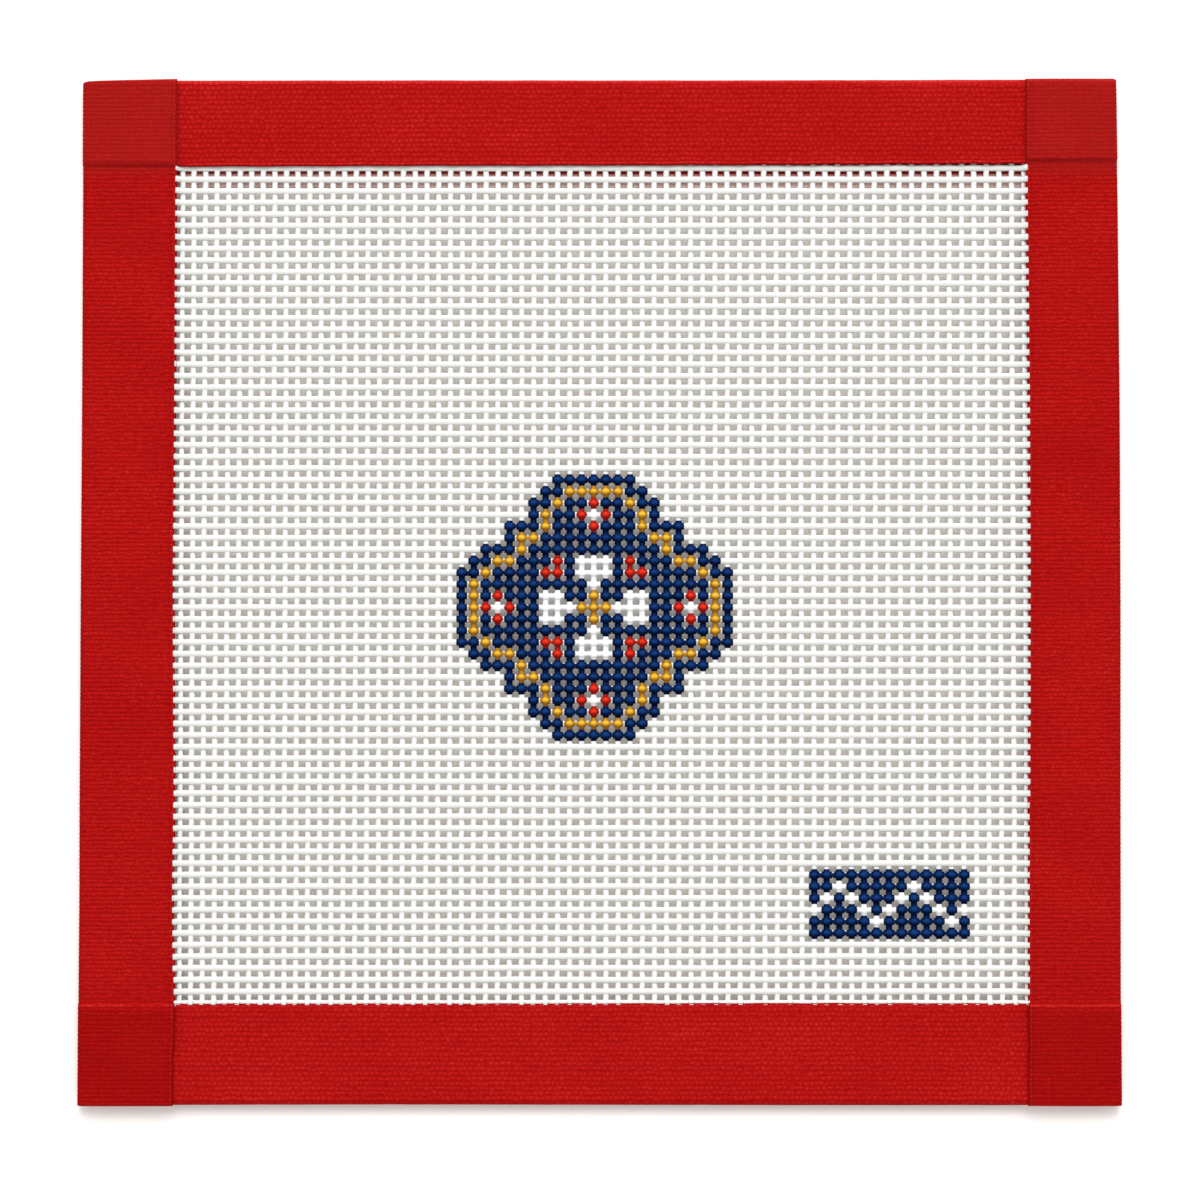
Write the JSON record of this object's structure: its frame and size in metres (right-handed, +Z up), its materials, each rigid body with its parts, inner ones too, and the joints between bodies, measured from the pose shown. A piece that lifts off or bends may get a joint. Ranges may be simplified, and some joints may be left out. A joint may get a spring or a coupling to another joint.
{
  "type": "needlepoint canvas panel",
  "caption": "Square of white mono needlepoint canvas with a small painted medallion, its raw edges bound in folded red cotton tape, lying flat ready to be stitched.",
  "frame": {"origin": "on the surface under the middle of the panel, which lies on its back", "axes": "+Z up out of the painted front, +Y towards the top edge of the design, +X towards its right edge"},
  "size_m": [0.1716, 0.1692, 0.0042],
  "materials": {
    "canvas": "starched white cotton, open plain weave",
    "binding": "matt red woven cotton tape",
    "paint_navy": "satin acrylic paint on thread",
    "paint_gold": "satin acrylic paint on thread",
    "paint_red": "satin acrylic paint on thread",
    "paint_white": "satin acrylic paint on thread"
  },
  "bodies": {
    "root": {"canvas": "canvas", "binding_left": "binding", "binding_right": "binding", "binding_top": "binding", "binding_bottom": "binding"}
  },
  "joints": []
}
